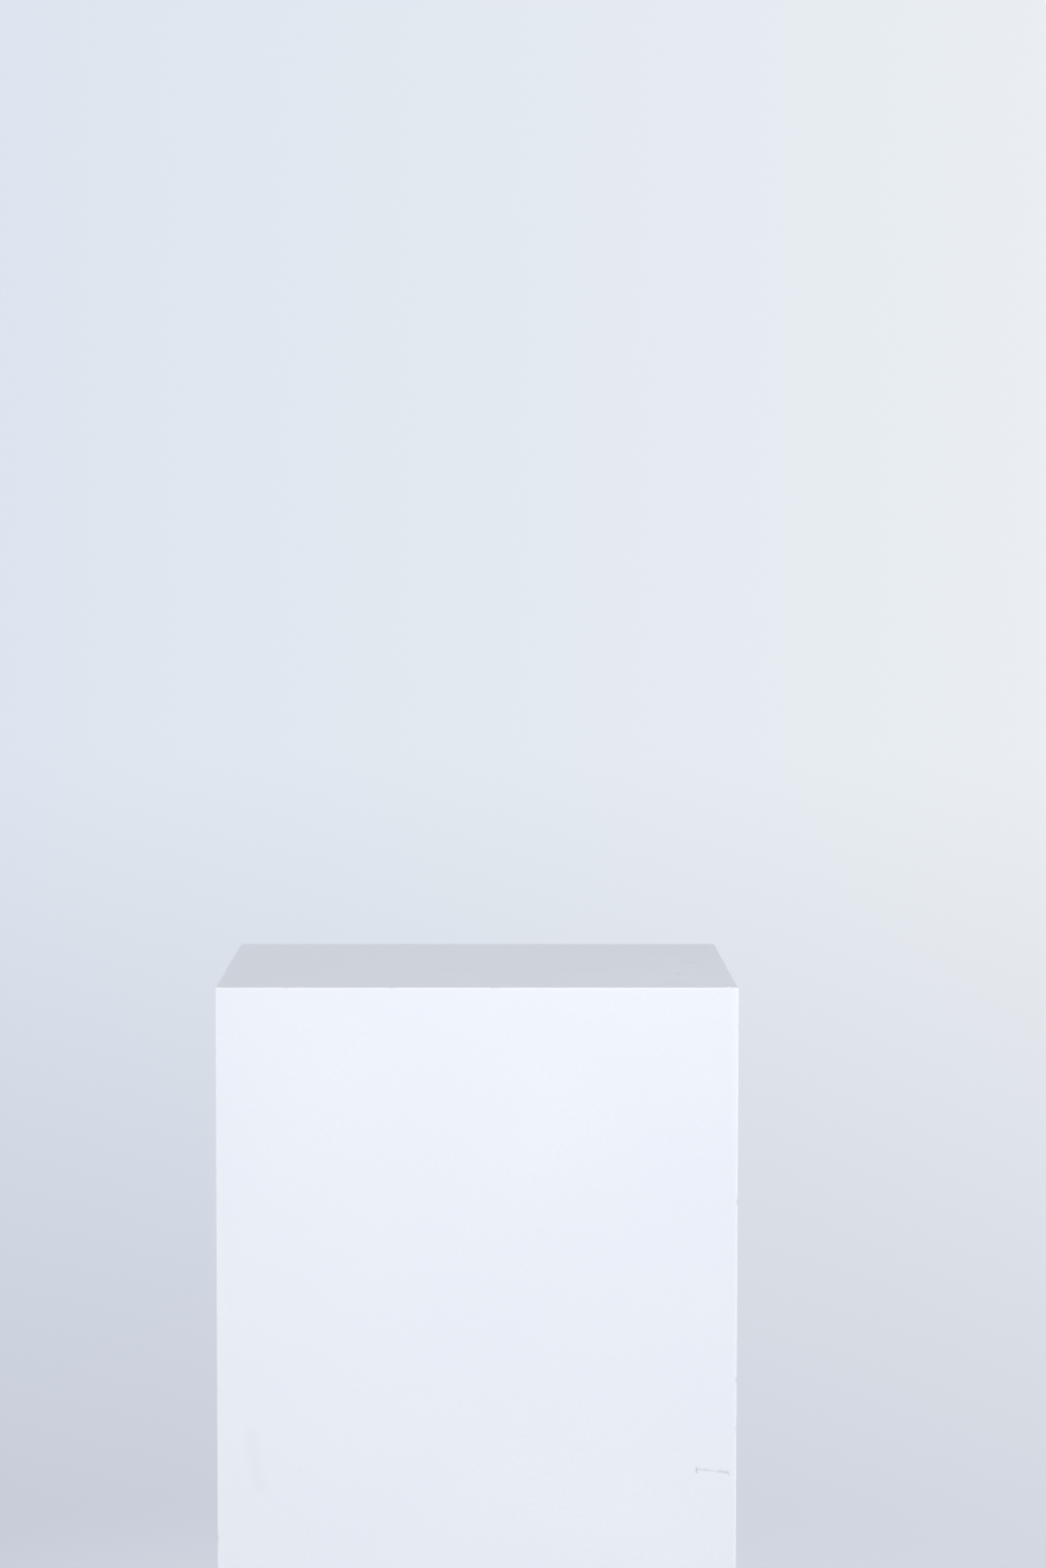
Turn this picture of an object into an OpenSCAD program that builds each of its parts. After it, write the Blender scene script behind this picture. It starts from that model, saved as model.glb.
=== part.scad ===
// Display plinth: a mitred box of painted MDF on a pine frame, closed below by a recessed base board
// that stands on four screw-in levelling feet. Millimetres, +Z up, front towards -Y, with the origin
// on the floor under the middle of the box.

/* [Box] */
// Width from side to side
plinth_w = 400; // [340:10:600]
// Depth from front to back
plinth_d = 300; // [250:10:600]
// Height of the display top above the floor
plinth_h = 1000; // [700:10:1300]
// Gap between the floor and the lower edges of the walls
floor_gap = 6; // [4:0.5:12]
// Thickness of the MDF walls and display top
panel_t = 18; // [15:0.2:25]
// Radius sanded onto the outer edges before painting
arris_r = 1; // [0.5:0.25:3]

/* [Biscuits] */
// Biscuits in each upright mitre
biscuit_count = 5; // [2:1:8]
// Length of a biscuit between its blunt ends
biscuit_l = 56; // [40:1:60]
// Width of a biscuit
biscuit_w = 23; // [15:1:23]
// Thickness of a biscuit
biscuit_t = 3.9; // [3:0.1:4.5]
// Distance of a biscuit from the inner corner, along the mitre
biscuit_in = 6; // [5:0.5:8]
// Height of the outermost biscuits from the ends of the mitre
biscuit_end = 90; // [60:5:140]

/* [Battens and cleats] */
// Side of the square pine battens and cleats
batten_w = 28; // [22:0.2:36]
// Radius planed onto the edges that face the cavity
batten_ease = 2; // [0.5:0.5:4]
// Gap left at each end of a cleat
cleat_gap = 0.25; // [0.1:0.05:1]

/* [Diaphragm] */
// Thickness of the plywood diaphragm
diaphragm_t = 12; // [9:0.5:18]
// Height of its underside above the floor
diaphragm_z = 500; // [300:10:560]
// Gap around it, at the walls and at the battens
diaphragm_gap = 0.5; // [0.2:0.1:2]

/* [Base board] */
// Thickness of the plywood base board
base_t = 18; // [15:0.5:25]
// Gap around it, at the walls
base_gap = 0.5; // [0.2:0.1:2]

/* [Screws] */
// Outer diameter of the countersunk wood screws
screw_d = 4; // [3.5:0.1:5]
// Diameter of the threaded length, measured at the root
screw_core_d = 2.8; // [2.2:0.1:3.2]
// Diameter of the head
screw_head_d = 8; // [7:0.1:10]
// How far a screw reaches into a wall or the display top
wall_bite = 12; // [9:0.5:13]
// How far a screw reaches into a cleat
cleat_bite = 20; // [12:0.5:20]
// Screws on each face of a corner batten
batten_screws_n = 6; // [3:1:10]
// Distance from a cleat's end to its first screw
screw_end = 30; // [20:1:40]

/* [Levelling feet] */
// Thread size of the studs
stud_d = 10; // [8:0.5:12]
// Rise of the thread in one turn
thread_pitch = 1.5; // [1:0.25:2]
// Threaded length above the hexagon
stud_l = 40; // [36:1:50]
// Distance from the cleats' inner faces to a stud's centre
foot_in = 16; // [14:1:24]
// Size across the flats of the stud's hexagon
hex_af = 15; // [13:1:17]
// Height of the hexagon
hex_h = 7; // [5:0.5:8]
// Diameter of the pad at the floor
pad_d = 40; // [34:1:44]
// Diameter of the pad at its top
pad_top_d = 30; // [26:1:32]
// Height of the pad
pad_h = 11; // [10:0.5:14]
// Diameter of the rubber sole
sole_d = 36; // [30:0.5:36.5]
// Thickness of the rubber sole
sole_t = 3; // [2.5:0.5:4]
// Part of the sole's thickness that is let into the pad
sole_seat = 2; // [1:0.25:2]

/* [Tee nuts] */
// Diameter of the flange
tee_flange_d = 25; // [22:0.5:28]
// Thickness of the flange
tee_flange_t = 1.6; // [1.2:0.1:2]
// Length of the barrel above the flange
tee_barrel_l = 12; // [10:0.5:14]
// Wall of the barrel
tee_wall = 1.1; // [0.8:0.1:1.5]

/* [Hidden] */
CORNERS = ["front_left", "front_right", "back_right", "back_left"];
SIDES = ["front", "right", "back", "left"];

$fn = 48;
over = 1;            // how far a cutter runs past the surface it cuts
paint = "#eef1f8";
pine = "#dcc092";
plywood = "#c9a876";
beech = "#d3ab7b";
zinc = "#b9bcc0";
nylon = "#26282b";
rubber = "#1b1b1c";

// Clearances between pieces
biscuit_fit = 0.1;   // between a biscuit and its slot, each side
biscuit_slack = 1.5; // spare length of a slot at each end of a biscuit
screw_fit = 0.1;     // between a screw and its hole, on radius
turn_fit = 0.05;     // between a stud's turning surfaces and their bores, on radius
shoulder_play = 0.1; // between the pad's top and the hexagon
pocket_play = 0.5;   // height of the pad's pocket beyond the riveted head
stop_gap = 0.3;      // between the hexagon and the tee nut when the foot is fully in
tee_fit = 0.1;       // between a tee nut and the board it is driven into
sole_fit = 0.1;      // between the sole and its recess, on radius

// Levels above the floor
pad_z = sole_t - sole_seat;
pad_top_z = pad_z + pad_h;
hex_z = pad_top_z + shoulder_play;
tee_z = hex_z + hex_h + stop_gap;
base_z = tee_z + tee_flange_t;
frame_z = base_z + base_t;
top_under_z = plinth_h - panel_t;
top_cleat_z = top_under_z - batten_w;
diaphragm_cleat_z = diaphragm_z + diaphragm_t;

// Places across the box
batten_in = panel_t + batten_w;       // a batten's inner face, from the outside of the box
batten_mid = panel_t + batten_w / 2;  // a batten's middle, from the outside of the box
foot_x = plinth_w / 2 - batten_in - foot_in;
foot_y = plinth_d / 2 - batten_in - foot_in;

// Screws, head to point
wall_screw_l = batten_w + wall_bite;
base_screw_l = base_t + cleat_bite;
diaphragm_screw_l = diaphragm_t + cleat_bite;
head_h = (screw_head_d - screw_d) / 2;
point_l = screw_core_d;
recess_w = 1.1;
recess_l = 0.55 * screw_head_d;
recess_h = 0.9 * head_h;
batten_screw_margin = 30;             // from the cleats to a batten's first and last screws
batten_screw_stagger = 40;            // between the rows on a batten's two faces

// Blunt ends of the biscuits
biscuit_tip_w = 3.4;

// Pieces of the feet
thread_h = 0.61 * thread_pitch;       // depth of the thread
hex_bevel_h = 0.6;
rivet_d = 14;
rivet_t = 2;
journal_d = 0.8 * stud_d;
pocket_z = sole_t + rivet_t + pocket_play;
rivet_z = pocket_z - rivet_t - shoulder_play * 2;
pocket_d = rivet_d + 1;
pad_rim_h = 2.5;
sole_groove_w = 2;
sole_groove_h = 0.8;
sole_groove_r = [8, 12.5];

// Prongs that hold a tee nut in the board
prong_count = 4;
prong_t = 1.2;
prong_w = 5;
prong_tip_w = 1.2;
prong_h = 8;
prong_r = tee_flange_d / 2 - prong_t - 1;

function wall_l(side) = side % 2 == 0 ? plinth_w : plinth_d;
function wall_out(side) = side % 2 == 0 ? plinth_d / 2 : plinth_w / 2;
function cleat_l(side) = wall_l(side) - 2 * batten_in - 2 * cleat_gap;
function spread(from, to, count) = [for (i = [0:count - 1]) from + i * (to - from) / (count - 1)];
function batten_screw_rows(face) = let (
    low = frame_z + batten_w + batten_screw_margin,
    high = top_cleat_z - batten_screw_margin,
    shift = face * batten_screw_stagger
) spread(low + shift, high - batten_screw_stagger + shift, batten_screws_n);

// Puts its children on a side's outer face: X runs along the wall and Y into the box
module at_side(side) {
    rotate(90 * side)
        translate([0, -wall_out(side), 0])
            children();
}

// Puts its children at a corner's outer edge: X and Y run along the two walls, into the box
module at_corner(corner) {
    x = corner == 0 || corner == 3 ? -plinth_w / 2 : plinth_w / 2;
    y = corner < 2 ? -plinth_d / 2 : plinth_d / 2;
    translate([x, y, 0])
        rotate(90 * corner)
            children();
}

// Puts its children at a foot's centre
module at_foot(corner) {
    x = corner == 0 || corner == 3 ? -foot_x : foot_x;
    y = corner < 2 ? -foot_y : foot_y;
    translate([x, y, 0])
        children();
}

// What is cut off a square corner at the origin, with the piece towards +X and +Y, to round it
module round_off(r) {
    difference() {
        translate([-over, -over])
            square(r + over);
        translate([r, r])
            circle(r);
    }
}

// ---- Walls and display top ----

// A wall seen from above, mitred at both ends
module wall_plan(l) {
    difference() {
        polygon([[-l / 2, 0], [l / 2, 0], [l / 2 - panel_t, panel_t], [panel_t - l / 2, panel_t]]);
        translate([-l / 2, 0])
            round_off(arris_r);
        translate([l / 2, 0])
            mirror([1, 0])
                round_off(arris_r);
    }
}

// A wall seen from its end: outer face at zero, mitred at the top
module wall_end() {
    difference() {
        polygon([[0, floor_gap], [panel_t, floor_gap], [panel_t, top_under_z], [0, plinth_h]]);
        translate([0, floor_gap])
            round_off(arris_r);
        translate([0, plinth_h])
            mirror([0, 1])
                round_off(arris_r);
    }
}

// The display top seen from one side, mitred at both ends
module top_end(l) {
    difference() {
        polygon([
            [-l / 2, plinth_h],
            [panel_t - l / 2, top_under_z],
            [l / 2 - panel_t, top_under_z],
            [l / 2, plinth_h]
        ]);
        for (end = [0, 1])
            mirror([end, 0])
                translate([-l / 2, plinth_h])
                    mirror([0, 1])
                        round_off(arris_r);
    }
}

module wall(side) {
    l = wall_l(side);
    color(paint)
        difference() {
            at_side(side)
                intersection() {
                    translate([0, 0, floor_gap])
                        linear_extrude(plinth_h - floor_gap)
                            wall_plan(l);
                    rotate([90, 0, 90])
                        linear_extrude(l, center = true)
                            wall_end();
                }
            at_corner(side) {
                biscuits(biscuit_fit, biscuit_slack);
                batten_screw_places(0)
                    screw_hole(wall_screw_l, batten_w);
            }
            at_corner((side + 1) % 4) {
                biscuits(biscuit_fit, biscuit_slack);
                batten_screw_places(1)
                    screw_hole(wall_screw_l, batten_w);
            }
            wall_cleat_screw_places(side, frame_z)
                screw_hole(wall_screw_l, batten_w);
            if (side % 2 == 1)
                wall_cleat_screw_places(side, diaphragm_cleat_z)
                    screw_hole(wall_screw_l, batten_w);
        }
}

module display_top() {
    color(paint)
        difference() {
            intersection() {
                rotate([90, 0, 0])
                    linear_extrude(plinth_d, center = true)
                        top_end(plinth_w);
                rotate([90, 0, 90])
                    linear_extrude(plinth_w, center = true)
                        top_end(plinth_d);
            }
            top_cleat_screw_places()
                screw_hole(wall_screw_l, batten_w);
        }
}

// ---- Biscuits ----

// A pressed-beech lens with blunt ends, its length along Z and its width along X
module biscuit(l, w, t) {
    sag = (w - biscuit_tip_w) / 2;
    r = (pow(l / 2, 2) + pow(sag, 2)) / (2 * sag);
    intersection() {
        translate([r - w / 2, 0, 0])
            rotate([90, 0, 0])
                cylinder(r = r, h = t, center = true, $fn = 180);
        translate([w / 2 - r, 0, 0])
            rotate([90, 0, 0])
                cylinder(r = r, h = t, center = true, $fn = 180);
        cube([w, t, l], center = true);
    }
}

// A corner's row of biscuits, square across its mitre
module biscuits(fit = 0, slack = 0) {
    m = panel_t - biscuit_in * cos(45);
    rows = spread(floor_gap + biscuit_end, top_under_z - biscuit_end, biscuit_count);
    for (z = rows)
        translate([m, m, z])
            rotate(-45)
                biscuit(biscuit_l + 2 * slack, biscuit_w + 2 * fit, biscuit_t + 2 * fit);
}

module corner_biscuits(corner) {
    color(beech)
        at_corner(corner)
            biscuits();
}

// ---- Screws ----

// A countersunk wood screw with its head's face at the origin, pointing to +Z
module screw(l, clear_l) {
    difference() {
        rotate_extrude()
            polygon([
                [0, 0],
                [screw_head_d / 2, 0],
                [screw_d / 2, head_h],
                [screw_d / 2, clear_l],
                [screw_core_d / 2, clear_l],
                [screw_core_d / 2, l - point_l],
                [0, l]
            ]);
        for (turn = [0, 90])
            rotate(turn)
                translate([-recess_l / 2, -recess_w / 2, -over])
                    cube([recess_l, recess_w, recess_h + over]);
    }
}

// The hole that such a screw goes in: countersunk and clear at first, then a pilot hole
module screw_hole(l, clear_l) {
    rotate_extrude()
        polygon([
            [0, -over],
            [screw_head_d / 2 + screw_fit, -over],
            [screw_head_d / 2 + screw_fit, 0],
            [screw_d / 2 + screw_fit, head_h],
            [screw_d / 2 + screw_fit, clear_l + screw_fit],
            [screw_core_d / 2 + screw_fit, clear_l + screw_fit],
            [screw_core_d / 2 + screw_fit, l + screw_fit],
            [0, l + screw_fit]
        ]);
}

// A corner batten's screws into one of its two walls, in the corner's own frame
module batten_screw_places(face) {
    for (z = batten_screw_rows(face))
        if (face == 0)
            translate([batten_mid, batten_in, z])
                rotate([90, 0, 0])
                    children();
        else
            translate([batten_in, batten_mid, z])
                rotate([0, -90, 0])
                    children();
}

// A cleat's two screws into its wall, where the cleat's underside is at the given level
module wall_cleat_screw_places(side, cleat_z) {
    at_side(side)
        for (x = [-1, 1] * (cleat_l(side) / 2 - screw_end))
            translate([x, batten_in, cleat_z + batten_w / 2])
                rotate([90, 0, 0])
                    children();
}

// Upright screws along a side, halfway across its cleats
module upright_screw_places(side, z) {
    at_side(side)
        for (x = [-1, 1] * (cleat_l(side) / 2 - 2 * screw_end))
            translate([x, batten_mid, z])
                children();
}

module top_cleat_screw_places() {
    for (side = [0:3])
        upright_screw_places(side, top_cleat_z)
            children();
}

module base_board_screw_places() {
    for (side = [0:3])
        upright_screw_places(side, base_z)
            children();
}

module diaphragm_screw_places() {
    for (side = [1, 3])
        upright_screw_places(side, diaphragm_z)
            children();
}

module batten_screws(corner) {
    color(zinc)
        at_corner(corner)
            for (face = [0, 1])
                batten_screw_places(face)
                    screw(wall_screw_l, batten_w);
}

module top_cleat_screws() {
    color(zinc)
        top_cleat_screw_places()
            screw(wall_screw_l, batten_w);
}

module base_cleat_screws() {
    color(zinc)
        for (side = [0:3])
            wall_cleat_screw_places(side, frame_z)
                screw(wall_screw_l, batten_w);
}

module diaphragm_cleat_screws() {
    color(zinc)
        for (side = [1, 3])
            wall_cleat_screw_places(side, diaphragm_cleat_z)
                screw(wall_screw_l, batten_w);
}

module diaphragm_screws() {
    color(zinc)
        diaphragm_screw_places()
            screw(diaphragm_screw_l, diaphragm_t);
}

module base_board_screws() {
    color(zinc)
        base_board_screw_places()
            screw(base_screw_l, base_t);
}

// ---- Battens, cleats and boards ----

// The section of a batten: two faces on the walls, and the edge towards the cavity eased
module batten_section() {
    difference() {
        square(batten_w);
        translate([batten_w, batten_w])
            rotate(180)
                round_off(batten_ease);
    }
}

module batten(corner) {
    color(pine)
        difference() {
            at_corner(corner)
                translate([panel_t, panel_t, frame_z])
                    linear_extrude(top_under_z - frame_z)
                        batten_section();
            at_corner(corner)
                for (face = [0, 1])
                    batten_screw_places(face)
                        screw_hole(wall_screw_l, batten_w);
        }
}

// A cleat along a side; its section's eased edge points up, or down when turned over
module cleat(side, z, turned_over) {
    at_side(side)
        translate([0, panel_t, z + (turned_over ? batten_w : 0)])
            mirror([0, 0, turned_over ? 1 : 0])
                rotate([90, 0, 90])
                    linear_extrude(cleat_l(side), center = true)
                        batten_section();
}

module top_cleat(side) {
    color(pine)
        difference() {
            cleat(side, top_cleat_z, true);
            upright_screw_places(side, top_cleat_z)
                screw_hole(wall_screw_l, batten_w);
        }
}

module base_cleat(side) {
    color(pine)
        difference() {
            cleat(side, frame_z, false);
            wall_cleat_screw_places(side, frame_z)
                screw_hole(wall_screw_l, batten_w);
            upright_screw_places(side, base_z)
                screw_hole(base_screw_l, base_t);
        }
}

module diaphragm_cleat(side) {
    color(pine)
        difference() {
            cleat(side, diaphragm_cleat_z, false);
            wall_cleat_screw_places(side, diaphragm_cleat_z)
                screw_hole(wall_screw_l, batten_w);
            upright_screw_places(side, diaphragm_z)
                screw_hole(diaphragm_screw_l, diaphragm_t);
        }
}

// Plywood that stops the walls bowing: pushed up against its cleats and notched round the battens
module diaphragm() {
    room = [plinth_w, plinth_d] - [2, 2] * (panel_t + diaphragm_gap);
    color(plywood)
        difference() {
            translate([0, 0, diaphragm_z])
                linear_extrude(diaphragm_t)
                    difference() {
                        square(room, center = true);
                        for (corner = [0:3])
                            at_corner(corner)
                                square(batten_in + diaphragm_gap);
                    }
            diaphragm_screw_places()
                screw_hole(diaphragm_screw_l, diaphragm_t);
        }
}

// Plywood that closes the box from below, drilled for the tee nuts and slotted for their prongs
module base_board() {
    room = [plinth_w, plinth_d] - [2, 2] * (panel_t + base_gap);
    color(plywood)
        difference() {
            translate([0, 0, base_z])
                linear_extrude(base_t)
                    difference() {
                        square(room, center = true);
                        for (corner = [0:3])
                            at_foot(corner)
                                circle(stud_d / 2 + tee_wall + tee_fit);
                    }
            for (corner = [0:3])
                at_foot(corner)
                    translate([0, 0, base_z])
                        prongs(tee_fit);
            base_board_screw_places()
                screw_hole(base_screw_l, base_t);
        }
}

// ---- Tee nuts and levelling feet ----

// Prongs standing on the flange, or with a gap around them the slots they go in
module prongs(gap) {
    for (i = [0:prong_count - 1])
        rotate((i + 0.5) * 360 / prong_count)
            translate([prong_r - gap, 0, 0])
                rotate([90, 0, 90])
                    linear_extrude(prong_t + 2 * gap)
                        polygon([
                            [-prong_w / 2 - gap, -gap],
                            [prong_w / 2 + gap, -gap],
                            [prong_tip_w / 2 + gap, prong_h + gap],
                            [-prong_tip_w / 2 - gap, prong_h + gap]
                        ]);
}

module tee_nut(corner) {
    color(zinc)
        at_foot(corner)
            translate([0, 0, tee_z])
                difference() {
                    union() {
                        cylinder(d = tee_flange_d, h = tee_flange_t);
                        cylinder(d = stud_d + 2 * tee_wall, h = tee_flange_t + tee_barrel_l);
                        translate([0, 0, tee_flange_t])
                            prongs(0);
                    }
                    translate([0, 0, -over])
                        cylinder(d = stud_d, h = tee_flange_t + tee_barrel_l + 2 * over);
                }
}

// A zinc-plated stud: riveted head in the pad's pocket, journal, hexagon and threaded length
module foot_stud(corner) {
    r = stud_d / 2 - turn_fit;
    hex_d = hex_af / cos(30);
    color(zinc)
        at_foot(corner)
            union() {
                translate([0, 0, rivet_z])
                    cylinder(d = rivet_d, h = rivet_t);
                translate([0, 0, rivet_z])
                    cylinder(d = journal_d, h = hex_z - rivet_z + over);
                translate([0, 0, hex_z])
                    intersection() {
                        cylinder(d = hex_d, h = hex_h, $fn = 6);
                        rotate_extrude()
                            polygon([
                                [0, 0],
                                [hex_af / 2, 0],
                                [hex_d / 2, hex_bevel_h],
                                [hex_d / 2, hex_h - hex_bevel_h],
                                [hex_af / 2, hex_h],
                                [0, hex_h]
                            ]);
                    }
                translate([0, 0, hex_z + hex_h - over])
                    rotate_extrude()
                        polygon([
                            [0, 0],
                            [r, 0],
                            [r, stud_l + over - thread_h],
                            [r - thread_h, stud_l + over],
                            [0, stud_l + over]
                        ]);
            }
}

// A moulded nylon pad: let in below for the sole and the riveted head, bored for the journal
module foot_pad(corner) {
    color(nylon)
        at_foot(corner)
            rotate_extrude()
                difference() {
                    polygon([
                        [0, pad_z],
                        [pad_d / 2, pad_z],
                        [pad_d / 2, pad_z + pad_rim_h],
                        [pad_top_d / 2, pad_top_z],
                        [0, pad_top_z]
                    ]);
                    translate([-over, pad_z - over])
                        square([sole_d / 2 + sole_fit + over, sole_seat + over]);
                    translate([-over, pad_z])
                        square([pocket_d / 2 + over, pocket_z - pad_z]);
                    translate([-over, pad_z])
                        square([journal_d / 2 + turn_fit + over, pad_h + over]);
                }
}

// A rubber disc glued into the pad, with two grooves that grip the floor
module foot_sole(corner) {
    color(rubber)
        at_foot(corner)
            rotate_extrude()
                difference() {
                    square([sole_d / 2, sole_t]);
                    for (r = sole_groove_r)
                        translate([r, -over])
                            square([sole_groove_w, sole_groove_h + over]);
                }
}

display_top();
diaphragm();
diaphragm_screws();
diaphragm_cleat_screws();
diaphragm_cleat(1);  // right_diaphragm_cleat
diaphragm_cleat(3);  // left_diaphragm_cleat
top_cleat_screws();
base_cleat_screws();
base_board();
base_board_screws();

for (i = [0:3]) {
    wall(i);
    top_cleat(i);
    base_cleat(i);
    corner_biscuits(i);
    batten(i);
    batten_screws(i);
    tee_nut(i);
    foot_stud(i);
    foot_pad(i);
    foot_sole(i);
}
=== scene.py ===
import math
import random

import bmesh
import bpy
from mathutils import Matrix, Vector


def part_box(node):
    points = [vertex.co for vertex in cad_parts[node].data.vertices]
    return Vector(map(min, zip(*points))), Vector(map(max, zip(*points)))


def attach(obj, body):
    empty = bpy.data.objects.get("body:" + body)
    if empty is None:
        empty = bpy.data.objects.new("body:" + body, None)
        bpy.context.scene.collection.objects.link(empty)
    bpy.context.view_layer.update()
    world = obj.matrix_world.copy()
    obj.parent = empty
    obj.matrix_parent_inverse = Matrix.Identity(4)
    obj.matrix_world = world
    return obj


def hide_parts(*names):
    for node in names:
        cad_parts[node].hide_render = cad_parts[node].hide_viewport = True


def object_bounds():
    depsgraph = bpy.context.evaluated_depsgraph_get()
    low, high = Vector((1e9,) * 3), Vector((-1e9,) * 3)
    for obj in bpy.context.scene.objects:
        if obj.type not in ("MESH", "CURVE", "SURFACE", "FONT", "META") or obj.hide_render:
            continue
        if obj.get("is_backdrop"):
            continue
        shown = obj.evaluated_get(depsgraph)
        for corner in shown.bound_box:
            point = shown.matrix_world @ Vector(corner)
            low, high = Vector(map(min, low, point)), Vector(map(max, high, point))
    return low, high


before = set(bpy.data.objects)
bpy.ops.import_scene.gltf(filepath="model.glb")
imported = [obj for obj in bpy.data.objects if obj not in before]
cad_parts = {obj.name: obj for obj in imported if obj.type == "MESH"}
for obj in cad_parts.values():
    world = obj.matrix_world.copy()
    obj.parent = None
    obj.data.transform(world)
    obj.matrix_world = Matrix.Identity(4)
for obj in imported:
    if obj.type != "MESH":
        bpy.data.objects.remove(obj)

cad_low, cad_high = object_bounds()

# ---- Walls and display top ----
# Five boards of 18 mm MDF, mitred where they meet, glued up and sanded to a small arris. The
# outside and the lower edges are filled, primed and rolled with satin white lacquer, which hides
# the mitres. The inside stays raw.
mm = 0.001
lower_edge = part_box("front_wall")[0].z
box_low = Vector((cad_low.x, cad_low.y, lower_edge))
box_mid = (box_low + cad_high) / 2
box_half = (cad_high - box_low) / 2
board_t = cad_high.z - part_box("display_top")[0].z
arris_r = 1 * mm
arris_steps = 7         # an odd number, so that a mitre runs down the middle of a facet
polish_and_highlight_outer = 1.6 * mm    # how far from an arris the polish, and the painted highlight that goes with it, reach at all
polish_and_highlight_inner = 0.3 * mm    # and how far they are full
soiled_h = 55 * mm      # how high above the lower edge the soiling reaches
outward = {
    "display_top": Vector((0, 0, 1)),
    "front_wall": Vector((0, -1, 0)),
    "right_wall": Vector((1, 0, 0)),
    "back_wall": Vector((0, 1, 0)),
    "left_wall": Vector((-1, 0, 0)),
}
raw = 1                 # the material slot of what a saw or drill has cut; the lacquer has slot 0
sharp_angle = math.radians(32)
weld = 1e-6             # points closer than this are one point
sliver = 5e-6           # a cut leaves no edge shorter than this
merge_cut = 1e-7        # how near a saw cut a point counts as on it


def linear(hex_colour):
    """An sRGB hex colour as the linear one that shaders take."""
    shares = [int(hex_colour[i:i + 2], 16) / 255 for i in (1, 3, 5)]
    return [*(s / 12.92 if s <= 0.04045 else ((s + 0.055) / 1.055) ** 2.4 for s in shares), 1]


def add(tree, kind, inputs, **settings):
    """Adds a shader node. Its inputs go by name, or in order as a list, each a value or a node or
    socket that feeds it."""
    node = tree.nodes.new("ShaderNode" + kind)
    for name, value in settings.items():
        setattr(node, name, value)
    sockets = [socket for socket in node.inputs if socket.enabled]
    for key, value in inputs.items() if isinstance(inputs, dict) else enumerate(inputs):
        socket = sockets[key] if isinstance(key, int) else next(s for s in sockets if s.name == key)
        if isinstance(value, bpy.types.Node):
            value = next(s for s in value.outputs if s.enabled)
        if isinstance(value, bpy.types.NodeSocket):
            tree.links.new(value, socket)
        else:
            socket.default_value = value
    return node


def new_material(name):
    """An empty material's node tree and its Object coordinates."""
    material = bpy.data.materials.new(name)
    material.use_nodes = True
    material.node_tree.nodes.clear()
    place = add(material.node_tree, "TexCoord", []).outputs["Object"]
    return material, material.node_tree, place


def stroke(tree, place, start, end, half_width):
    """A soft-edged mark from start to end, 1 along its middle and 0 past its half width."""
    run = end - start
    offset = add(tree, "VectorMath", [place, start], operation="SUBTRACT")
    along = add(tree, "VectorMath", [offset, run / run.length_squared], operation="DOT_PRODUCT")
    share = add(tree, "Math", [along.outputs["Value"], 0], operation="ADD", use_clamp=True)
    nearest = add(tree, "VectorMath", {"Vector": run, "Scale": share}, operation="SCALE")
    gap = add(tree, "VectorMath", [offset, nearest], operation="DISTANCE").outputs["Value"]
    return add(tree, "MapRange", [gap, half_width, 0, 0, 1], interpolation_type="SMOOTHSTEP")


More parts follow.
